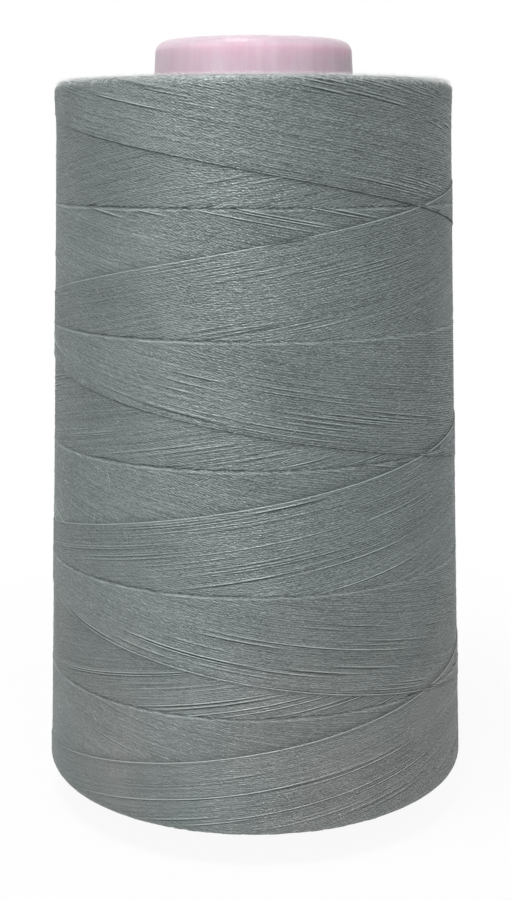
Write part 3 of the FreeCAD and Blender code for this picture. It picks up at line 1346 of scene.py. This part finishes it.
    def end_turns(self, end: End) -> Object:
        """Builds the turns that show on an end face: each thread comes up, runs round and goes in again.

        They lie in rings. Along a turn the depth is a parabola, deepest at its two ends.

        Args:
            end: which end face.

        Returns:
            The piece.
        """
        dice, shape = self.dice, self.shape
        reach = shape.face_reach(end)
        rings = np.arange(0.5 * self.ring_gap, reach - self.face_margin, self.ring_gap)
        sign, edge = (1, shape.nose_z) if end is End.NOSE else (-1, shape.foot_z)
        radius, _, _ = shape.skin(edge + sign * rings)
        many = (TURN * radius / self.turn_gap).astype(int)
        ring, number = ragged(many)
        total = len(ring)
        middle = number + dice.uniform(-self.turn_stagger, self.turn_stagger, total)
        middle = TURN * middle / many[ring] + dice.uniform(0, TURN, len(rings))[ring]
        run = rings[ring] + dice.normal(0, self.uneven_ring, total)
        share = np.array(self.turn_places)[None, :]
        slant = np.tan(dice.normal(0, self.turn_slant, total))
        way = share * self.turn_reach * dice.uniform(*self.turn_lengths, total)[:, None]
        outer, inner = self.level_margins
        level = edge + sign * (run[:, None] + way * slant[:, None]).clip(outer, reach - inner)
        angle = middle[:, None] + way / radius[ring][:, None]
        depth = THREAD_HALF_HEIGHT + dice.uniform(0, self.uneven_turn_depth, total)[:, None] * MM
        depth = depth + self.turn_bow * share**2
        centre, outward = shape.on_skin(level.ravel(), angle.ravel(), depth.ravel())
        tone = np.clip(dice.normal(0, self.turn_tone, total), -1, 1)
        count = np.full(total, share.size)
        strands = Strands(centre, outward, count, np.repeat(tone, count), dice.uniform(0, 1, total), sides=5)
        return strands.build(f"{end.value}_turns")

    def underlay(self) -> Object:
        """Turns the body of older thread, which lies the cover's depth below the outside all over."""
        shape = self.shape
        foot, nose = shape.face_reach(End.FOOT), shape.face_reach(End.NOSE)
        level = np.concatenate([
            np.linspace(shape.foot_z - foot, shape.foot_z + 2 * shape.foot_edge_round, self.edge_steps),
            np.linspace(shape.foot_z, shape.nose_z, self.side_steps)[2:-2],
            np.linspace(shape.nose_z - 2 * shape.nose_edge_round, shape.nose_z + nose, self.edge_steps),
        ])
        radius, z, tilt = shape.skin(np.sort(level))
        down = self.cover - shape.proud
        outline = np.stack([radius - down * np.cos(tilt), z - down * np.sin(tilt)], -1)
        return lathe("shaded_thread_underlay", outline, self.around)


@dataclass
class Fuzz:
    """Loose ends of fibre that stand off the thread, most of all round the nose end's edge.

    Pairs are ranges of an even chance, and past_edge gives the two ends and the peak between them of
    a chance that rises and falls. These places and the fibres' lengths are in millimetres. Lifts
    are the sine of a fibre's angle to the skin.
    """

    shape: ConeShape
    seed: int = 11
    thickness: float = 0.022 * MM
    edge_fibres: int = 13000
    side_fibres: int = 900
    places: int = 3
    root_depth: float = 0.12 * MM
    past_edge: tuple[float, float, float] = (-0.8, 0.2, 2.0)
    top_start: float = 0.35 * MM
    edge_length: Span = (0.5, 1.6)
    side_length: Span = (1.0, 3.0)
    top_lift: Span = (0.35, 0.95)
    side_lift: Span = (0.03, 0.15)
    side_course: float = 0.5
    bend: float = 0.8
    droop: float = 0.35

    def build(self) -> Object:
        """Builds the fibres as thin three-sided tubes.

        Each starts on the winding's skin and bends: its way off the skin is a parabola of the way
        along it, and its course turns steadily.

        Returns:
            The piece.
        """
        dice = np.random.default_rng(self.seed)
        total = self.edge_fibres + self.side_fibres
        at_edge = np.arange(total) < self.edge_fibres
        past = dice.triangular(*self.past_edge, total) * MM
        level = np.where(at_edge, self.shape.nose_z + past,
                         dice.uniform(self.shape.foot_z, self.shape.nose_z, total))
        angle = dice.uniform(0, TURN, total)
        long, short = (dice.uniform(*span, total) for span in (self.edge_length, self.side_length))
        length = np.where(at_edge, long, short)[:, None] * MM
        high, low = (dice.uniform(*span, total) for span in (self.top_lift, self.side_lift))
        lift = np.where(at_edge & (past > self.top_start), high, low)[:, None]
        free, lengthwise = dice.uniform(0, TURN, total), dice.normal(0, self.side_course, total)
        course = np.where(at_edge, free, lengthwise)[:, None]
        share = np.linspace(0, 1, self.places)[None, :]
        gone = share * length
        depth = self.root_depth - gone * lift * (1 - self.droop * share)
        heading = course + dice.normal(0, self.bend, total)[:, None] * share / 2
        flat = gone * np.sqrt(1 - lift**2)
        radius, _, _ = self.shape.skin(level)
        turned = angle[:, None] + flat * np.cos(heading) / radius[:, None]
        level = level[:, None] + flat * np.sin(heading)
        centre, outward = self.shape.on_skin(level.ravel(), turned.ravel(), depth.ravel())
        half = self.thickness / 2
        count = np.full(total, self.places)
        strands = Strands(centre, outward, count, np.zeros(len(centre)), np.zeros(total),
                          half_width=half, half_height=half, sides=3)
        return strands.build("loose_fibres")


@dataclass
class StartBunch:
    """The first turns of the thread, wound tight round the bare foot, and the lead up into the winding.

    Tight on each other, the threads are flattened to these halves of their width and height, and
    their layers are nested less than a thread apart. Both are shares of the thread's thickness.
    """

    shape: ConeShape
    turns_in_layer: int = 9
    layers: int = 2
    thread: float = 0.25 * MM
    flattened: Span = (0.48, 0.46)
    nested: float = 0.9
    start_angle: float = 2.2
    lead_turn: float = 0.16
    step_in: float = 0.4
    to_turn: int = 64

    def build(self) -> Object:
        """Builds the bunch as one strand.

        The height goes down and up again by one thread for each turn, the radius steps out by a
        nested thread from layer to layer, and the lead climbs to the winding in a smooth step,
        while its radius goes back in to the core during the first share of it.

        Returns:
            The piece.
        """
        low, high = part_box("start_bunch")
        bottom, top = low.z + self.thread / 2, high.z - self.thread / 2
        coiled = self.turns_in_layer * self.layers
        turn = np.linspace(0, coiled + self.lead_turn, int((coiled + self.lead_turn) * self.to_turn))
        layer_turn = np.clip(turn, 0, coiled) / self.turns_in_layer
        led = (turn - coiled) / self.lead_turn
        z = top + (bottom - top) * np.abs((layer_turn + 1) % 2 - 1)
        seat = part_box("thread_winding")[0].z
        z = z + ease(led) * (seat + 2 * self.thread - z)
        layer = np.minimum(np.floor(layer_turn), self.layers - 1) * (1 - ease(led / self.step_in))
        core = self.shape.core_radius(0) - z * self.shape.taper
        radius = core + self.thread / 2 + layer * self.nested * self.thread
        angle = turn * TURN + self.start_angle
        centre = place(angle, radius, z)
        outward = place(angle, np.ones(len(turn)), np.zeros(len(turn)))
        half_width, half_height = (share * self.thread for share in self.flattened)
        strands = Strands(centre, outward, np.array([len(turn)]), np.zeros(len(turn)), np.zeros(1),
                          half_width=half_width, half_height=half_height, sides=8)
        return strands.build("start_bunch_thread")


@dataclass(frozen=True)
class Softbox:
    """A square softbox that points at the axis.

    The azimuth is its angle round the axis, the elevation its angle above the level, the size the
    length of its sides, and the power is in watts.
    """

    name: str
    azimuth: float
    elevation: float
    distance: float
    size: float
    power: float

    def build(self, aim_z: float) -> None:
        """Sets up the light, which points at the height aim_z on the axis."""
        data = bpy.data.lights.new(self.name, "AREA")
        data.shape = "SQUARE"
        data.size = self.size
        data.energy = self.power
        light = bpy.data.objects.new(self.name, data)
        bpy.context.scene.collection.objects.link(light)
        level, up = self.distance * math.cos(self.elevation), self.distance * math.sin(self.elevation)
        where = place(np.array(self.azimuth), np.array(level), np.array(aim_z + up))
        turn = Matrix.Rotation(self.azimuth, 4, "Z") @ Matrix.Rotation(math.pi / 2 - self.elevation, 4, "X")
        light.matrix_world = Matrix.Translation(where.tolist()) @ turn


@dataclass
class Studio:
    """The camera, the lights, the pale floor and the white surround.

    The key light stands high above the camera, and the fill light near it. The floor looks white
    to the eye, apart from a share of shadow round the cone's foot.
    """

    camera_place: tuple[float, float, float] = (0.0, -0.3311, 0.1469)
    camera_tilt: float = 0.20125
    camera_yaw: float = 0.00065644
    camera_roll: float = -0.0024082
    lens: float = 58.82
    lamps: tuple[Softbox, ...] = (
        Softbox("key_light", azimuth=math.radians(-30), elevation=math.radians(72), distance=0.65,
                size=0.22, power=4.0),
        Softbox("fill_light", azimuth=math.radians(-8), elevation=math.radians(18), distance=1.1,
                size=0.6, power=2.6))
    world_strength: float = 0.26
    white: Colour = (1.0, 1.0, 1.0, 1.0)
    floor_size: float = 6.0
    floor_greys: tuple[Colour, Colour] = ((0.80, 0.80, 0.80, 1.0), (0.82, 0.82, 0.82, 1.0))
    floor_mottle_scale: float = 20.0
    floor_roughness: float = 0.7
    shadow_fade: Span = (0.06, 0.25)
    shadow: float = 0.07

    def camera(self) -> None:
        """Sets up the camera, level with the winding's upper part and tilted down a little."""
        data = bpy.data.cameras.new("camera")
        data.lens = self.lens
        camera = bpy.data.objects.new("camera", data)
        bpy.context.scene.collection.objects.link(camera)
        yaw, roll = (Matrix.Rotation(angle, 4, "Z") for angle in (-self.camera_yaw, self.camera_roll))
        tilt = Matrix.Rotation(math.pi / 2 - self.camera_tilt, 4, "X")
        camera.matrix_world = Matrix.Translation(self.camera_place) @ (yaw @ tilt @ roll)
        bpy.context.scene.camera = camera

    def surround(self) -> None:
        """Sets up the world: white to the eye, in gloss and through glass, and a plain fill light."""
        world = bpy.data.worlds.new("surround")
        bpy.context.scene.world = world
        world.use_nodes = True
        board = Board(world.node_tree)
        strength = board.math("MULTIPLY_ADD", self.seen(board), 1 - self.world_strength, self.world_strength)
        board.fill(world.node_tree.nodes["Background"], {"Color": self.white, "Strength": strength})

    @staticmethod
    def seen(board: Board) -> NodeSocket:
        """1 for rays that are seen by the camera, in gloss or through glass, and 0 for light."""
        path = board.node("LightPath").outputs
        either = board.math("MAXIMUM", path["Is Camera Ray"], path["Is Glossy Ray"])
        return board.math("MAXIMUM", either, path["Is Transmission Ray"])

    def floor(self, mottle: NodeTree) -> None:
        """Lays the floor, which looks white and keeps a soft shadow round the cone's foot.

        Args:
            mottle: the group for its faint unevenness.
        """
        half = self.floor_size / 2
        co = np.array([[-half, -half, 0], [half, -half, 0], [half, half, 0], [-half, half, 0]])
        floor = new_object("floor", co, np.arange(4), np.array([4]))
        made, board, shader, where = new_finish("white_floor")
        mask = board.mottled(mottle, where, self.floor_mottle_scale)
        colour = board.mix(mask, *self.floor_greys)
        board.fill(shader, {"Base Color": colour, "Roughness": self.floor_roughness})
        away = board.node("VectorMath", {0: where}, operation="LENGTH").outputs["Value"]
        clear = board.math("MULTIPLY_ADD", board.ramp(away, *self.shadow_fade), self.shadow, 1 - self.shadow)
        white = board.node("Emission", {"Color": self.white, "Strength": 1.0})
        share = board.math("MULTIPLY", clear, self.seen(board))
        both = board.node("MixShader", {0: share, 1: shader.outputs[0], 2: white.outputs[0]})
        board.fill(made.node_tree.nodes["Material Output"], {"Surface": both.outputs[0]})
        floor.data.materials.append(made)


def thread_finishes(shape: ConeShape, law: StrokeLaw, mottle: NodeTree) -> list[Material]:
    """Builds the finishes of rising, falling and level threads.

    Args:
        shape: the winding's sizes.
        law: how its thread was led.
        mottle: the group for a slow, soft change.

    Returns:
        The three finishes.
    """
    grain = PlyGrain()
    twist, dashes = PliedTwist().group(), grain.group()
    radius, climb = (shape.foot_radius + shape.nose_radius) / 2, math.asin(law.climb)
    made = []
    for way, angle, lit_slant, far_slant, dash, streak in (
            ("rising", climb, 27, 0, 0.35, 0.6),
            ("falling", -climb, 25, -4, 0.37, 0.55),
            ("level", 0.0, 20, 20, 0.4, 0.5)):
        run = grain.run(radius, angle, math.radians(lit_slant), math.radians(far_slant))
        made.append(ThreadFinish(twist, dashes, mottle, f"{way}_thread", run, dash, streak).material())
    return made


def main() -> None:
    """Builds the cone of thread, its finishes and the studio."""
    logging.basicConfig(level=logging.INFO, format="%(message)s")
    bpy.context.scene.view_settings.view_transform = "Standard"
    shape = ConeShape()
    law = StrokeLaw(shape)
    mottle = Mottle().group()
    rising, falling, level = thread_finishes(shape, law, mottle)
    finishes = {Family.RISING: rising, Family.FALLING: falling}
    under = ShadedUnderlayFinish(mottle).material()
    pink = CoreFinish(mottle).material(shape.length)

    dress(Core(shape).build(), pink, Slot.CORE, "core")
    winding = Winding(shape, law)
    dress(winding.underlay(), under, Slot.THREAD, "thread_winding")
    for number in range(2 * law.turns):
        for family in Family:
            dress(winding.band(family, number), finishes[family], Slot.THREAD, "thread_winding")
    for end in End:
        dress(winding.end_turns(end), level, Slot.THREAD, "thread_winding")
    dress(Fuzz(shape).build(), FuzzFinish(mottle).material(), Slot.THREAD, "thread_winding")
    dress(StartBunch(shape).build(), level, Slot.THREAD, "start_bunch")

    studio = Studio()
    studio.camera()
    for lamp in studio.lamps:
        lamp.build(shape.length / 2)
    studio.surround()
    studio.floor(mottle)


if __name__ == "__main__":
    main()
